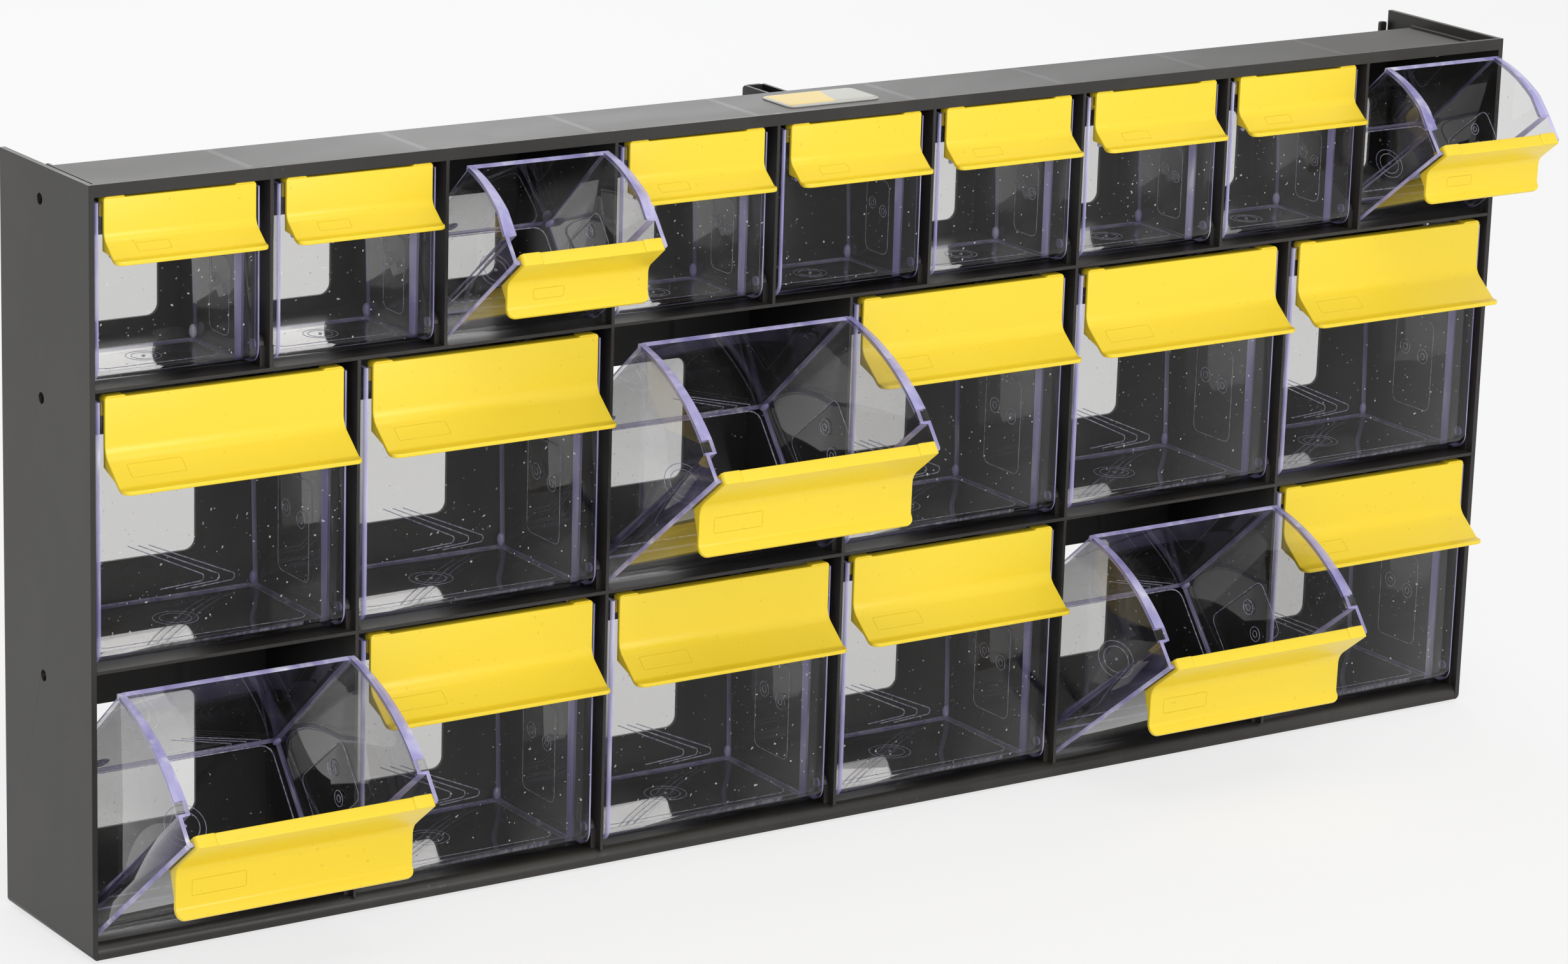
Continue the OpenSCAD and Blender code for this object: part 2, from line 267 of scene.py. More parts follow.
# two points closer than this are one
NEAR = 1e-6
HOUSING_NODES = [
    "side_panel_left", "side_panel_right", "top_panel", "base_panel", "upper_shelf",
    "lower_shelf", "back_wall_top", "back_wall_middle", "back_wall_bottom", "dividers_top",
    "dividers_middle", "dividers_bottom", "hanging_tabs",
]
HOUSING_EDGE = 0.22 * MM
SIDE_T = 2 * MM
SMALL_COUNT, LARGE_COUNT = 9, 6
HOUSING_W = 2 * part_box("side_panel_right")[1].x
HOUSING_FRONT, HOUSING_REAR = (corner.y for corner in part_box("side_panel_left"))
SHELF_LEVELS = [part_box(name)[1].z for name in ("lower_shelf", "upper_shelf")]
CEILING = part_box("dividers_top")[1].z


def satin_black():
    """Charcoal plastic with a fine grain, flow lines, shallow sinks where the dividers and
    shelves join the outer panels, a little dust, and painted shade inside the compartments."""
    finish = Finish("housing_plastic")
    x, y, z = finish.axes()
    flow = finish.noise(7.0, 4.0, (1.0, 1.6, 0.35), Distortion=0.8)
    clouds = finish.noise(22.0, 3.0, (1.0, 1.0, 0.6), Distortion=1.2)
    grain = finish.noise(2600.0, 2.0)
    specks = finish.ramp(finish.noise(900.0, 1.0), 0.75, 0.79)
    # how far a point is from the nearest divider of the top row and from a shelf
    pitch = HOUSING_W / SMALL_COUNT
    beside = abs((x + HOUSING_W / 2 + pitch / 2).math("MODULO", pitch) - pitch / 2)
    sink = finish.ramp(beside, 0.6 * MM, 2.2 * MM, 1.0, 0.0)
    for level in SHELF_LEVELS:
        sink = sink.larger(finish.ramp(abs(z - level), 0.8 * MM, 3 * MM, 1.0, 0.0))
    colour = finish.mix(finish.ramp(flow, 0.35, 0.65), rgb(35, 34, 32), rgb(45, 42, 39))
    colour = finish.mix(finish.ramp(clouds, 0.5, 0.72) * 0.35, colour, rgb(60, 58, 54))
    # painted shade: the insides of the compartments are coloured darker than the outside, where
    # little light reaches; the mask is 1 behind the front edges, between the side panels, under
    # the roof and before the rear face
    side = HOUSING_W / 2 - SIDE_T
    painted_shade_inside = finish.ramp(y - HOUSING_FRONT, 2 * MM, 10 * MM)
    painted_shade_inside = painted_shade_inside * finish.ramp(abs(x), side - 0.1 * MM, side + 0.1 * MM, 1.0, 0.0)
    painted_shade_inside = painted_shade_inside * finish.ramp(z, CEILING - 0.2 * MM, CEILING + 0.4 * MM, 1.0, 0.0)
    painted_shade_inside = painted_shade_inside * finish.ramp(y - HOUSING_REAR, -0.4 * MM, -0.2 * MM, 1.0, 0.0)
    # painted shade: the compartments' insides take this near black
    colour = finish.mix(painted_shade_inside * 0.85, colour, rgb(15, 14, 15))
    colour = finish.mix(specks * 0.3, colour, rgb(128, 126, 122))
    rough = finish.ramp(flow, 0.3, 0.7, 0.33, 0.43) + grain * 0.05 + sink * -0.05
    height = grain * 0.06 + flow * 1.5 + clouds * 0.35 + sink * -0.6
    return finish.surface(finish.node(
        "BsdfPrincipled", Base_Color=colour, Roughness=rough, IOR=1.43,
        Normal=finish.bump(height, 0.3, 0.4 * MM)))


def break_edges(piece, width, segments, angle):
    """Rounds the edges at which a piece turns by more than an angle in degrees."""
    edge = piece.modifiers.new("edge", "BEVEL")
    edge.width, edge.segments = width, segments
    edge.limit_method, edge.angle_limit = "ANGLE", math.radians(angle)


housing_plastic = satin_black()
for name in HOUSING_NODES:
    panel = frame["nodes"][name]
    panel.data.materials.clear()
    panel.data.materials.append(housing_plastic)
    panel.modifiers.new("weld", "WELD").merge_threshold = NEAR
    break_edges(panel, HOUSING_EDGE, 2, angle=40)

# ---- Bins ----------------------------------------------------------------------------------
# Clear polystyrene, 1.5 mm thick, open at the top. The front strip is broad and steps in to a
# narrower body; the sides end in an arc about the pins, with a rim turned outwards. Wherever
# a wall is looked at edge-on the plastic shows violet. Moulded marks are low ridges.

WALL = 1.5 * MM
PIVOT_IN = 6 * MM
STRIP_DEPTH = 11.5 * MM
STEP_IN, STEP_SLOPE = 3.0 * MM, 0.4 * MM
CORNER, SHELL_EDGE = 1.2 * MM, 0.2 * MM
# what counts as a corner of the shell, in radians
CORNER_TURN = 0.6
RIM_END = 0.8 * MM
PIN_R, PIN_L = 1.8 * MM, 2.2 * MM
OUTER_GAP = 3.25 * MM
# lugs at the rear's foot: radii, and how far the middle stands in from the walls and floor
LUG_RADII, LUG_IN = (1.5 * MM, 1.2 * MM, 2.5 * MM), (0.9 * MM, 0.7 * MM, 2.4 * MM)
# pegs on the front: radius, and how far they stand in from the side and before the front
PEG_R, PEG_IN, PEG_OUT = 0.9 * MM, 5.5 * MM, 0.3 * MM
# a face narrower than the first shows violet, and one narrower than the second does near a
# rim's or the step's middle line, within the bands; a wall's own face looks sideways
NARROW, RIM_W = 0.85 * MM, 4.2 * MM
RIM_BAND, STEP_BAND, SIDEWAYS = 2.5 * MM, 1.8 * MM, 0.75
CLEAR, EDGE, MARK_AND_HIGHLIGHT = 0, 1, 2
FOOT_STEPS, RIM_STEPS = 6, 24


class BinSize:
    """Real sizes of one kind of bin, given in millimetres and kept in metres. Points are
    (w, u): w is depth behind the bin's front, and u is height above its foot."""

    def __init__(self, row_count, **lengths):
        self.half = (HOUSING_W / row_count) / 2 - OUTER_GAP
        self.add(**lengths)

    def add(self, **lengths):
        """Keeps more lengths under their names."""
        for name, length in lengths.items():
            setattr(self, name, length * MM)


# front_h, rear_h: the walls' heights. depth, floor_d: from the front to the rear wall's top and
# to its foot. reach: from the pins to the rims. gate, dot, frame, ring, spot: moulded marks.
LARGE = BinSize(
    LARGE_COUNT, front_h=90.4, depth=62.4, floor_d=59.3, rear_h=69.6, reach=85, peg_up=66.6,
    gate_in=5.5, gate_out=7.8, dot_in=13, dot_up=10, dot_r=3.7,
    frame_w=22, frame_h=36, frame_in=29.65, ring_r=2.9, spot_r=1.3)
SMALL = BinSize(
    SMALL_COUNT, front_h=60.8, depth=43, floor_d=40, rear_h=48.8, reach=56.5, peg_up=43,
    gate_in=4.2, gate_out=6.0, dot_in=9, dot_up=8, dot_r=2.6,
    frame_w=14, frame_h=27, frame_in=20.8, ring_r=2.1, spot_r=1.0)


def arc(centre, radius, first, last, steps):
    """Points of an arc from one angle to another, in degrees, both ends included."""
    turns = [math.radians(first + (last - first) * k / steps) for k in range(steps + 1)]
    return [(centre[0] + radius * math.cos(t), centre[1] + radius * math.sin(t)) for t in turns]


def bin_shell(size):
    """The walls of a bin and its two rims as sheets, before they have a thickness."""
    bm = bmesh.new()
    pivot = (PIVOT_IN, PIVOT_IN)
    # from the rear wall's top down, round the front foot and up to the front's top edge
    chain = [(size.depth, size.rear_h), (size.floor_d, 0.0)]
    chain += arc(pivot, PIVOT_IN, 270, 180, FOOT_STEPS) + [(0.0, size.front_h)]
    first = math.degrees(math.asin((size.front_h - PIVOT_IN) / size.reach))
    last = math.degrees(math.atan2(size.rear_h - PIVOT_IN, size.depth - PIVOT_IN))
    rim = arc(pivot, size.reach, first, last, RIM_STEPS)[:-1]
    left, left_rim, right, right_rim = (
        [bm.verts.new((side * size.half, w, u)) for w, u in points]
        for side in (-1, 1) for points in (chain, rim))
    for k in range(len(chain) - 1):
        bm.faces.new((left[k], left[k + 1], right[k + 1], right[k]))
    bm.faces.new(left + left_rim)
    bm.faces.new(list(reversed(right + right_rim)))
    bmesh.ops.recalc_face_normals(bm, faces=bm.faces)
    # the front strip ends in a short sloping step
    for depth in (STRIP_DEPTH - STEP_SLOPE, STRIP_DEPTH):
        bmesh.ops.bisect_plane(bm, geom=bm.verts[:] + bm.edges[:] + bm.faces[:],
                               plane_co=(0, depth, 0), plane_no=(0, 1, 0), dist=1e-7)
    for v in bm.verts:
        if v.co.y > STRIP_DEPTH - NEAR:
            v.co.x -= math.copysign(STEP_IN, v.co.x)
    # round the upright and lower corners
    sharp = [e for e in bm.edges
             if len(e.link_faces) == 2 and e.calc_face_angle() > CORNER_TURN]
    bmesh.ops.bevel(bm, geom=sharp, offset=CORNER, segments=3, profile=0.5,
                    affect="EDGES", clamp_overlap=True, material=-1)
    bmesh.ops.recalc_face_normals(bm, faces=bm.faces)
    front = min(bm.faces, key=lambda f: f.calc_center_median().y)
    if front.normal.y > 0:
        bmesh.ops.reverse_faces(bm, faces=bm.faces)
    # a rim lies on each curved edge, turns outwards and faces away from the pins
    rim_edges = [
        e for e in bm.edges if e.is_boundary
        and all(v.co.y > STRIP_DEPTH - 2 * STEP_SLOPE for v in e.verts)
        and abs(e.verts[0].co.x - e.verts[1].co.x) < size.half
        and all(abs(v.co.x) > size.half - STEP_IN - CORNER for v in e.verts)
    ]
    rim_verts = {}
    for v in dict.fromkeys(v for e in rim_edges for v in e.verts):
        share = min(max((v.co.y - STRIP_DEPTH) / (size.depth - STRIP_DEPTH), 0.0), 1.0)
        width = size.half - STEP_IN * share + RIM_END * share
        rim_verts[v] = [bm.verts.new((math.copysign(x, v.co.x), v.co.y, v.co.z))
                        for x in (abs(v.co.x) - WALL, width)]
    for e in rim_edges:
        (a_in, a_out), (b_in, b_out) = (rim_verts[v] for v in e.verts)
        face = bm.faces.new((a_in, a_out, b_out, b_in))
        face.normal_update()
        middle = face.calc_center_median()
        if face.normal.dot(Vector((0, middle.y - PIVOT_IN, middle.z - PIVOT_IN))) < 0:
            face.normal_flip()
    return bm


def finished(bm, name, materials):
    """A bmesh as a new object, before its modifiers."""
    data = bpy.data.meshes.new(name)
    bm.to_mesh(data)
    bm.free()
    for material in materials:
        data.materials.append(material)
    return placed(name, data)


def thicken(piece, thickness):
    """Gives a shell its wall, behind the side that its faces look to."""
    wall = piece.modifiers.new("wall", "SOLIDIFY")
    wall.thickness, wall.offset = thickness, -1
    wall.use_even_offset = True
    return wall


def applied(piece):
    """The piece's mesh with its modifiers applied, and the same open for more work. The
    piece itself is removed."""
    bpy.context.view_layer.update()
    graph = bpy.context.evaluated_depsgraph_get()
    data = bpy.data.meshes.new_from_object(piece.evaluated_get(graph))
    bpy.data.objects.remove(piece)
    bm = bmesh.new()
    bm.from_mesh(data)
    return data, bm


def clear_plastic():
    """Walls seen through: a mirror-like share that grows at grazing angles, faint scuffs."""
    finish = Finish("clear_walls")
    scuffs = finish.ramp(finish.noise(60.0, 6.0, (1, 1, 5.0), Distortion=1.5), 0.62, 0.78)
    specks = finish.ramp(finish.noise(900.0, 0.0), 0.83, 0.86)
    film = finish.node("BsdfPrincipled", Base_Color=rgb(222, 221, 226), Roughness=0.25)
    through = finish.node("BsdfTransparent", Color=(0.892, 0.890, 0.888, 1.0))
    inner = finish.blend((scuffs * 0.008 + specks * 0.5).clamped(), through, film)
    gloss = finish.node("BsdfGlossy", Color=WHITE, Roughness=0.02)
    grazing = finish.node("LayerWeight", out="Facing", Blend=0.5)
    share = (grazing ** 3.2) * 0.9 + 0.007
    return finish.surface(finish.blend(share.clamped(), inner, gloss))


def violet_edge():
    """Where the wall is looked at edge-on it is thick, and shows the plastic's violet, with
    painted white glints along it.
    """
    finish = Finish("clear_edges")
    streaks = finish.noise(90.0, 2.0, (1, 1, 0.25), Distortion=0.4)
    # painted highlights: white glints in streaks along the edges, which also make them less
    # clear
    painted_glints = finish.ramp(finish.noise(150.0, 2.0, (1, 1, 0.2)), 0.58, 0.72)
    violet = finish.mix(
        finish.ramp(streaks, 0.35, 0.7), rgb(166, 160, 219), rgb(208, 204, 241))
    colour = finish.mix(painted_glints * 0.7, violet, rgb(240, 239, 252))
    body = finish.node("BsdfPrincipled", Base_Color=colour, Roughness=0.12, IOR=1.5)
    through = finish.node("BsdfTransparent", Color=(0.86, 0.85, 0.94, 1.0))
    share = finish.ramp(streaks, 0.3, 0.7, 0.55, 0.78).larger(painted_glints * 0.85)
    return finish.surface(finish.blend(share, through, body))


def frosted_marks_and_highlights():
    """Low moulded marks, which scatter light and so look pale, and in the same finish the
    painted highlight lines on the large rear wall.
    """
    finish = Finish("clear_marks_and_highlights")
    grain = finish.noise(700.0, 2.0)
    colour = finish.mix(finish.ramp(grain, 0.35, 0.65), rgb(176, 172, 214), rgb(226, 225, 236))
    body = finish.node("BsdfPrincipled", Base_Color=colour, Roughness=0.3, IOR=1.5)
    through = finish.node("BsdfTransparent", Color=(0.9, 0.9, 0.93, 1.0))
    return finish.surface(finish.blend(finish.ramp(grain, 0.3, 0.7, 0.35, 0.7), through, body))


clear_walls = clear_plastic()
clear_edges = violet_edge()
clear_marks_and_highlights = frosted_marks_and_highlights()


def raised(bm, outline, where, height):
    """A low plate with a closed outline of (x, y) points, on a matrix's plane; its faces."""
    base = [bm.verts.new(where @ Vector((x, y, 0))) for x, y in outline]
    face = bm.faces.new(base)
    grown = bmesh.ops.extrude_face_region(bm, geom=[face])["geom"]
    lift = where.to_3x3() @ Vector((0, 0, height))
    for v in (g for g in grown if isinstance(g, bmesh.types.BMVert)):
        v.co += lift
    around = [f for v in base for f in v.link_faces]
    return list(dict.fromkeys(around + [g for g in grown if isinstance(g, bmesh.types.BMFace)]))


def ridge(bm, path, where, width, height):
    """A low ridge of triangular section along a closed path of (x, y) points; its faces."""
    count = len(path)
    rows = []
    for k, (x, y) in enumerate(path):
        before, after = Vector(path[k - 1]), Vector(path[(k + 1) % count])
        along = (after - before).normalized()
        across = Vector((-along.y, along.x)) * (width / 2)
        flat = [Vector((x, y)) - across, Vector((x, y)), Vector((x, y)) + across]
        rows.append([bm.verts.new(where @ Vector((p.x, p.y, height * (i == 1))))
                     for i, p in enumerate(flat)])
    made = []
    for k in range(count):
        a, b = rows[k], rows[(k + 1) % count]
        for i, j in ((0, 1), (1, 2), (2, 0)):
            made.append(bm.faces.new((a[i], b[i], b[j], a[j])))
    return made


def rounded_rectangle(width, height, radius):
    """Points of a rounded rectangle about the middle, four to a corner."""
    points = []
    for k, (sx, sy) in enumerate(((1, 1), (-1, 1), (-1, -1), (1, -1))):
        centre = (sx * (width / 2 - radius), sy * (height / 2 - radius))
        points += arc(centre, radius, 90 * k, 90 * k + 90, 3)
    return points


def drawn_line(points, width):
    """The outline of an open line drawn with a given width."""
    sides = [], []
    for k, point in enumerate(points):
        ahead = Vector(points[min(k + 1, len(points) - 1)]) - Vector(points[max(k - 1, 0)])
        across = Vector((-ahead.y, ahead.x)).normalized() * (width / 2)
        sides[0].append(tuple(Vector(point) + across))
        sides[1].append(tuple(Vector(point) - across))
    return sides[0] + sides[1][::-1]


def circle(radius, steps=16):
    """Points of a circle about the middle."""
    return arc((0, 0), radius, 0, 360 - 360 / steps, steps - 1)


# ridges are (width, height)
PAD_MARGINS, PAD_R, PAD_RIDGE = (5 * MM, 4 * MM), 4 * MM, (0.5 * MM, 0.12 * MM)
GATE_X, GATE_Y, GATE_RIDGE = -1.0 * MM, -2 * MM, (0.3 * MM, 0.1 * MM)
NUB_R, NUB_H = 0.6 * MM, 0.3 * MM


def floor_marks(bm, size, inner):
    """The pad's outline on the floor, and the gate's nub with two rings round it."""
    middle = (STRIP_DEPTH + size.floor_d) / 2
    across, along = PAD_MARGINS
    pad = rounded_rectangle(2 * inner - across, size.floor_d - STRIP_DEPTH - along, PAD_R)
    made = ridge(bm, pad, Matrix.Translation((0, middle, WALL)), *PAD_RIDGE)
    gate = Matrix.Translation((GATE_X, middle + GATE_Y, WALL))
    for radius in (size.gate_in, size.gate_out):
        made += ridge(bm, circle(radius, 24), gate, *GATE_RIDGE)
    return made + raised(bm, circle(NUB_R, 8), gate, NUB_H)


def rear_plane(size, x, up):
    """The plane of the rear wall's inside, which leans, about a point on it."""
    lean = math.atan2(size.depth - size.floor_d, size.rear_h)
    return (Matrix.Translation((x, size.floor_d - WALL, 0)) @ Matrix.Rotation(-lean, 4, "X")
            @ Matrix.Translation((0, 0, up)) @ Matrix.Rotation(math.pi / 2, 4, "X"))


DOT_H, BAR_H, CROSS_BAR_H = 0.04 * MM, 0.12 * MM, 0.13 * MM
BARS_EACH_SIDE, BAR_SPACING, BAR_HALF = 3, 1 / 3.6, 0.15 * MM


def hatched_dot(bm, size, inner):
    """The rear wall's dot: a disc with bars both ways across it."""
    place = rear_plane(size, -inner + size.dot_in, size.dot_up)
    made = raised(bm, circle(size.dot_r), place, DOT_H)
    for k in range(-BARS_EACH_SIDE, BARS_EACH_SIDE + 1):
        across = k * size.dot_r * BAR_SPACING
        half = math.sqrt(size.dot_r ** 2 - across ** 2)
        bar = [(-half, across - BAR_HALF), (half, across - BAR_HALF),
               (half, across + BAR_HALF), (-half, across + BAR_HALF)]
        made += raised(bm, bar, place, BAR_H)
        made += raised(bm, [(-y, x) for x, y in bar], place, CROSS_BAR_H)
    return made


# painted highlights: low pale ridges that stand in for streaks of highlight on the rear wall
HIGHLIGHT_COUNT, HIGHLIGHT_W, HIGHLIGHT_H = 3, 0.4 * MM, 0.1 * MM
# of the first line, and how much further on each next one lies
HIGHLIGHT_START, HIGHLIGHT_START_STEP = Vector((36, 21)) * MM, Vector((4, -0.3)) * MM
HIGHLIGHT_BEND, HIGHLIGHT_BEND_STEP = Vector((64, 7.5)) * MM, Vector((6, -0.6)) * MM
# from the bend to the middle of its curve, the curve's radius, and to the line's end
HIGHLIGHT_CURVE, HIGHLIGHT_CURVE_R = Vector((-0.6, -1.2)) * MM, 1.4 * MM
HIGHLIGHT_END = Vector((-16, -3.4)) * MM


def painted_highlight_lines(bm, size, inner):
    """Painted highlight lines on the large rear wall, which run down to the right and turn back.
    """
    place = rear_plane(size, -inner, 0)
    made = []
    for k in range(HIGHLIGHT_COUNT):
        bend = HIGHLIGHT_BEND + HIGHLIGHT_BEND_STEP * k
        line = [HIGHLIGHT_START + HIGHLIGHT_START_STEP * k, bend]
        line += arc(bend + HIGHLIGHT_CURVE, HIGHLIGHT_CURVE_R, 50, -80, 5)
        line.append(bend + HIGHLIGHT_END)
        made += raised(bm, drawn_line(line, HIGHLIGHT_W), place, HIGHLIGHT_H)
    return made


FRAME_R, FRAME_RIDGE, RING_RIDGE = 3 * MM, (0.35 * MM, 0.12 * MM), (0.35 * MM, 0.15 * MM)
# the frame's height as a share of the rear wall's, and the rings' places as shares of it
FRAME_UP, RING_ALONG, RING_UP, RING_SLANT = 0.42, 0.24, 0.12, 4 * MM


def wall_frame(bm, size, inner):
    """The frame with two double rings on the right wall; its plane looks towards -x."""
    place = (Matrix.Translation((inner, size.frame_in, size.rear_h * FRAME_UP))
             @ Matrix.Rotation(-math.pi / 2, 4, "Z") @ Matrix.Rotation(math.pi / 2, 4, "X"))
    outline = rounded_rectangle(size.frame_w, size.frame_h, FRAME_R)
    made = ridge(bm, outline, place, *FRAME_RIDGE)
    for along in (-RING_ALONG, RING_ALONG):
        ring = place @ Matrix.Translation(
            (along * size.frame_w, size.frame_h * RING_UP - along * RING_SLANT, 0))
        made += ridge(bm, circle(size.ring_r), ring, *RING_RIDGE)
        made += ridge(bm, circle(size.spot_r, 8), ring, *RING_RIDGE)
    return made


def faces_of(made):
    """The faces that a bmesh operator has just made."""
    return list(dict.fromkeys(f for v in made["verts"] for f in v.link_faces))


def ball(bm, middle, radii, around, down):
    """A small ball or egg with so many faces around and from top to bottom; its faces."""
    return faces_of(bmesh.ops.create_uvsphere(
        bm, u_segments=around, v_segments=down, radius=1.0,
        matrix=Matrix.Translation(middle) @ Matrix.Diagonal((*radii, 1))))


def fittings(bm, size, side):
    """One side's pin at the front's foot, its glassy lug at the rear's foot and its peg below
    the strip's plate; their faces."""
    place = Matrix.Translation((side * (size.half + PIN_L / 2), PIVOT_IN, PIVOT_IN))
    made = faces_of(bmesh.ops.create_cone(
        bm, cap_ends=True, segments=24, radius1=PIN_R, radius2=PIN_R, depth=PIN_L,
        matrix=place @ Matrix.Rotation(math.pi / 2, 4, "Y")))
    lug = (side * (size.half - STEP_IN - WALL - LUG_IN[0]), size.floor_d - WALL - LUG_IN[1],
           WALL + LUG_IN[2])
    made += ball(bm, lug, LUG_RADII, 12, 8)
    return made + ball(bm, (side * (size.half - PEG_IN), -PEG_OUT, size.peg_up),
                       [PEG_R] * 3, 10, 6)


def bin_mesh(size, name):
    """A finished bin mesh: wall with its thickness, broken edges, fittings and marks."""
    shell = finished(bin_shell(size), name, (clear_walls, clear_edges, clear_marks_and_highlights))
    thicken(shell, WALL).use_quality_normals = True
    break_edges(shell, SHELL_EDGE, 2, angle=50)
    data, bm = applied(shell)
    bmesh.ops.dissolve_degenerate(bm, edges=bm.edges, dist=NEAR)
    bm.normal_update()
    for face in bm.faces:
        breadth = face.calc_area() / max(e.calc_length() for e in face.edges)
        middle = face.calc_center_median()
        high = math.hypot(middle.y - PIVOT_IN, middle.z - PIVOT_IN) > size.reach - RIM_BAND
        rim = high and breadth < RIM_W and abs(face.normal.x) < SIDEWAYS
        step = (abs(middle.y - STRIP_DEPTH) < STEP_BAND and breadth < RIM_W
                and abs(middle.x) > size.half - STEP_IN - 2 * WALL)
        face.material_index = EDGE if breadth < NARROW or rim or step else CLEAR
        face.smooth = True
    solids = fittings(bm, size, -1) + fittings(bm, size, 1)
    for face in solids:
        face.material_index = EDGE
    inner = size.half - STEP_IN - WALL
    marks = floor_marks(bm, size, inner) + hatched_dot(bm, size, inner)
    # the painted highlight lines join the moulded marks, in the same pale finish
    if size is LARGE:
        marks += painted_highlight_lines(bm, size, inner)
    marks += wall_frame(bm, size, inner)
    for face in marks:
        face.material_index = MARK_AND_HIGHLIGHT
    bmesh.ops.recalc_face_normals(bm, faces=solids + marks)
    bm.to_mesh(data)
    bm.free()
    return data


def in_place(joint):
    """Where a bin stands: from its own lower front corner to the cabinet, tipped as at rest."""
    tipped = -math.radians(joint["range_deg"][0])
    return (Matrix.Translation(joint["pos_m"]) @ Matrix.Rotation(tipped, 4, "X")
            @ Matrix.Translation((0, -PIVOT_IN, -PIVOT_IN)))


def add_pieces(kind, small, large):
    """One piece for each bin's body, from the mesh of its size, in place of its node."""
    for joint in frame["joints"]:
        row, _, number = joint["child"].split("_")
        data = (small if row == "top" else large).copy()
        data.transform(in_place(joint))
        piece = placed(f"{kind}_{row}_{number}_shell", data)
        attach(piece, joint["child"])
        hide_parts(f"{kind}_{row}_{number}")


add_pieces("bin", bin_mesh(SMALL, "small_bin"), bin_mesh(LARGE, "large_bin"))

# ---- Handle strips -------------------------------------------------------------------------
# Yellow polystyrene, 1.5 mm thick. A strip hooks over the front wall's top edge, lies flat on
# the front, flares out and ends in a level lip with round corners, where a finger pulls. A
# web closes each end behind the flare, and a low hump stands on each end of the ridge.

STRIP_T = 1.5 * MM
STRIP_INSET = 2.35 * MM
CAP_H, HOOK_L = 1.6 * MM, 5.0 * MM
# how far the flare turns from upright, in degrees
FLARE = 51.0
KINK_R, LIP_R = 2.4 * MM, 3.0 * MM
HUMP_W, HUMP_H, HUMP_SLOPE, HUMP_SINK = 8 * MM, 0.7 * MM, 0.9 * MM, 0.05 * MM
# a web stands a hair in from the strip's end, and its lower corners stand clear of the flare
WEB_T, WEB_IN, WEB_DROP, WEB_END, WEB_CLEAR = 1.2 * MM, 0.02 * MM, 4.5 * MM, 1.5 * MM, 0.5 * MM
STRIP_EDGE = 0.35 * MM
# the blank frame: its middle as a share of the flare and from the strip's end, its ridge
BLANK_DOWN, BLANK_IN, BLANK_R, BLANK_RIDGE = 0.52, 16 * MM, 0.6 * MM, (0.25 * MM, 0.025 * MM)
LARGE.add(plate_h=19.2, bend_r=7.0, flare_l=14.0, lip_l=4.0, blank_w=20, blank_h=5.5)
SMALL.add(plate_h=13.2, bend_r=4.5, flare_l=9.0, lip_l=3.2, blank_w=12, blank_h=3.6)
# turns a side view, drawn as (w, u), to stand across the strip
SIDE_VIEW = Matrix(((0, 0, 1, 0), (1, 0, 0, 0), (0, 1, 0, 0), (0, 0, 0, 1)))


def yellow_plastic():
    """Clean yellow, half gloss, with faint flow and a few fine specks."""
    finish = Finish("handle_plastic")
    flow = finish.noise(12.0, 3.0, (0.35, 1, 1), Distortion=0.5)
    grain = finish.noise(3200.0, 2.0)
    colour = finish.mix(finish.ramp(flow, 0.3, 0.7), rgb(242, 211, 44), rgb(245, 216, 56))
    specks = finish.ramp(finish.noise(700.0, 0.0), 0.82, 0.85)
    colour = finish.mix(specks * 0.25, colour, rgb(190, 140, 20))
    return finish.surface(finish.node(
        "BsdfPrincipled", Base_Color=colour, Roughness=grain * 0.08 + 0.29, IOR=1.5,
        Normal=finish.bump(grain * 0.3 + flow, 0.15, 0.3 * MM)))


handle_plastic = yellow_plastic()


def down_flare(point, length):
    """The point that lies a length further down the flare."""
    turn = math.radians(FLARE)
    return (point[0] - length * math.sin(turn), point[1] - length * math.cos(turn))


def bend(size):
    """Where the plate's and the flare's outer faces would meet without the bend between
    them, and how far the bend runs along each."""
    corner = (-STRIP_T, size.front_h + CAP_H - size.plate_h)
    return corner, size.bend_r * math.tan(math.radians(FLARE / 2))


def strip_path(size):
    """Outer line of the strip's side view as (w, u), from the hook's inner foot over the
    top, down the front, out along the flare and level to the lip's end."""
    top = size.front_h + CAP_H
    corner, run = bend(size)
    kink = down_flare(corner, size.flare_l)
    start = down_flare(kink, -KINK_R * math.tan(math.radians((90 - FLARE) / 2)))
    side = math.radians(FLARE)
    centre = (start[0] - KINK_R * math.cos(side), start[1] + KINK_R * math.sin(side))
    path = [(WALL + STRIP_T, size.front_h - HOOK_L), (WALL + STRIP_T, top), (-STRIP_T, top)]
    path += arc((-STRIP_T - size.bend_r, corner[1] + run), size.bend_r, 0, -FLARE, 8)
    path += arc(centre, KINK_R, -FLARE, -90, 4)
    return path + [(kink[0] - size.lip_l, kink[1])]


def web(bm, size, side):
    """The plate that closes one end of the strip behind its bend and flare; its faces."""
    corner, run = bend(size)
    low = down_flare(corner, size.flare_l - WEB_END)
    outline = [(-STRIP_T / 2, corner[1] + run), (0, corner[1] + run),
               (0, corner[1] - WEB_DROP), (low[0] + WEB_CLEAR, low[1] - WEB_CLEAR),
               down_flare((-STRIP_T / 2, corner[1]), run)]
    outer = size.half - STRIP_INSET - WEB_IN
    left = outer - WEB_T if side > 0 else -outer
    return raised(bm, outline, Matrix.Translation((left, 0, 0)) @ SIDE_VIEW, WEB_T)


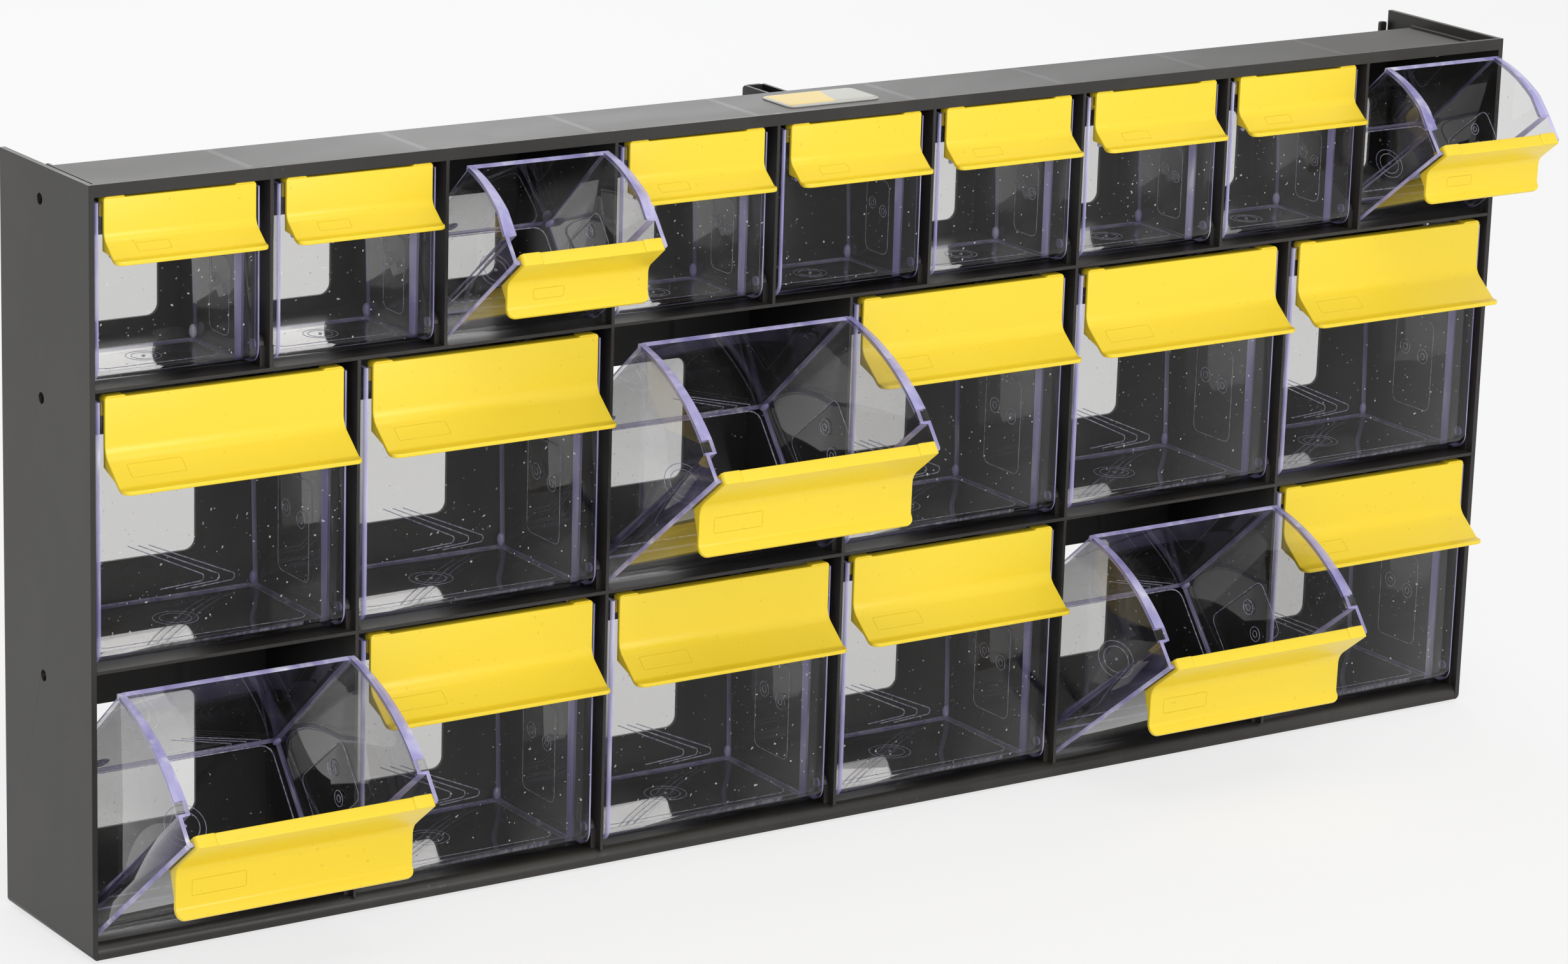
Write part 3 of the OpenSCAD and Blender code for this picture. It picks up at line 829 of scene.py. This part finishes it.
def hump(bm, size, side):
    """The hump with sloping ends on one end of the strip's ridge; its faces."""
    half, top = size.half - STRIP_INSET, size.front_h + CAP_H
    first, last = sorted((side * half, side * (half - HUMP_W)))
    outline = [(first, 0), (last, 0), (last - HUMP_SLOPE, HUMP_H), (first + HUMP_SLOPE, HUMP_H)]
    place = (Matrix.Translation((0, WALL + STRIP_T, top - HUMP_SINK))
             @ Matrix.Rotation(math.pi / 2, 4, "X"))
    return raised(bm, outline, place, 2 * STRIP_T + WALL)


def blank_frame(bm, size):
    """A low ridge on the flare, at the left; its faces."""
    corner, _ = bend(size)
    w, u = down_flare(corner, size.flare_l * BLANK_DOWN)
    turn = math.radians(FLARE)
    up, out = (math.sin(turn), math.cos(turn)), (-math.cos(turn), math.sin(turn))
    place = Matrix.Translation((-size.half + STRIP_INSET + BLANK_IN, w, u)) @ Matrix((
        (1, 0, 0, 0), (0, up[0], out[0], 0), (0, up[1], out[1], 0), (0, 0, 0, 1)))
    outline = rounded_rectangle(size.blank_w, size.blank_h, BLANK_R)
    return ridge(bm, outline, place, *BLANK_RIDGE)


def strip_mesh(size, name):
    """A finished strip mesh: folded sheet with its thickness, webs, humps and blank frame."""
    half = size.half - STRIP_INSET
    bm = bmesh.new()
    line = [bm.verts.new((-half, w, u)) for w, u in strip_path(size)]
    edges = [bm.edges.new((a, b)) for a, b in zip(line, line[1:])]
    grown = bmesh.ops.extrude_edge_only(bm, edges=edges)["geom"]
    for v in (g for g in grown if isinstance(g, bmesh.types.BMVert)):
        v.co.x = half
    bmesh.ops.recalc_face_normals(bm, faces=bm.faces)
    # round the two corners of the lip
    front = min(v.co.y for v in bm.verts)
    corners = [v for v in bm.verts if v.co.y < front + NEAR]
    bmesh.ops.bevel(bm, geom=corners, offset=LIP_R, segments=6, profile=0.5,
                    affect="VERTICES", material=-1)
    # faces point outwards, away from the bin's front
    plate = max(bm.faces, key=lambda f: f.calc_area())
    if plate.normal.y > 0:
        bmesh.ops.reverse_faces(bm, faces=bm.faces)
    strip = finished(bm, name, (handle_plastic,))
    thicken(strip, STRIP_T)
    data, bm = applied(strip)
    made = []
    for side in (-1, 1):
        made += web(bm, size, side) + hump(bm, size, side)
    bmesh.ops.recalc_face_normals(bm, faces=made)
    bm.to_mesh(data)
    bm.free()
    strip = placed(name, data)
    break_edges(strip, STRIP_EDGE, 3, angle=35)
    data, bm = applied(strip)
    bmesh.ops.recalc_face_normals(bm, faces=blank_frame(bm, size))
    for face in bm.faces:
        face.smooth = True
    bm.to_mesh(data)
    bm.free()
    return data


add_pieces("handle",
           strip_mesh(SMALL, "small_strip"), strip_mesh(LARGE, "large_strip"))

# ---- Label ---------------------------------------------------------------------------------
# A bare domed label on the roof: a clear resin lens over a film, yellow at its left and
# silver at its right, with a pale border. The boundary of the two colours slants.

LABEL_R, LABEL_TOP_R = 3 * MM, 0.6 * MM
LABEL_BORDER = 1.1 * MM
# how far in from the label's outline the dome has which height
LABEL_DOME = [(0.0, 0.0), (0.0, 0.35), (0.35, 0.62), (0.9, 0.78), (1.8, 0.87), (3.0, 0.9)]
# where the yellow ends along the front and along the rear edge
YELLOW_FRONT, YELLOW_REAR = 3.5 * MM, 8.6 * MM
# half the width over which one colour passes into another
PRINT_BLUR = 0.1 * MM


def label_film():
    """Yellow and silver film with a pale border, seen through the resin."""
    finish = Finish("label_film")
    low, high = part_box("label")
    x, y, _ = finish.axes()
    grain = finish.noise(1800.0, 1.0)
    edge_x = abs(x - (low.x + high.x) / 2) - (high.x - low.x) / 2
    edge_y = abs(y - (low.y + high.y) / 2) - (high.y - low.y) / 2
    border = finish.ramp(edge_x.larger(edge_y), -LABEL_BORDER - PRINT_BLUR,
                         -LABEL_BORDER + PRINT_BLUR)
    slant = (YELLOW_REAR - YELLOW_FRONT) / (high.y - low.y)
    silver = finish.ramp(x - (y - low.y) * slant, YELLOW_FRONT - PRINT_BLUR,
                         YELLOW_FRONT + PRINT_BLUR)
    colour = finish.mix(silver, rgb(232, 196, 38), rgb(150, 150, 146))
    colour = finish.mix(grain * 0.15, colour, rgb(240, 236, 200))
    colour = finish.mix(border, colour, rgb(206, 205, 198))
    return finish.surface(finish.node(
        "BsdfPrincipled", Base_Color=colour, Roughness=grain * 0.06 + 0.4,
        Metallic=silver * (1 - border) * 0.5, Coat_Weight=0.2, Coat_Roughness=0.08))


def label_dome():
    """The domed resin as rings of points, each higher and further in than the one before."""
    low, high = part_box("label")
    bm = bmesh.new()
    foot = Vector(((low.x + high.x) / 2, (low.y + high.y) / 2, low.z))
    rings = []
    for inset, height in LABEL_DOME:
        outline = rounded_rectangle(high.x - low.x - 2 * inset * MM,
                                    high.y - low.y - 2 * inset * MM,
                                    max(LABEL_R - inset * MM, LABEL_TOP_R))
        rings.append([bm.verts.new(foot + Vector((x, y, height * MM))) for x, y in outline])
    for a, b in zip(rings, rings[1:]):
        for k in range(len(a)):
            after = (k + 1) % len(a)
            bm.faces.new((a[k], a[after], b[after], b[k]))
    bm.faces.new(rings[-1])
    underside = bm.faces.new(list(reversed(rings[0])))
    bmesh.ops.recalc_face_normals(bm, faces=bm.faces)
    for face in bm.faces:
        face.smooth = face != underside
    return bm


label = finished(label_dome(), "label_dome", (label_film(),))
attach(label, "housing")
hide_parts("label")
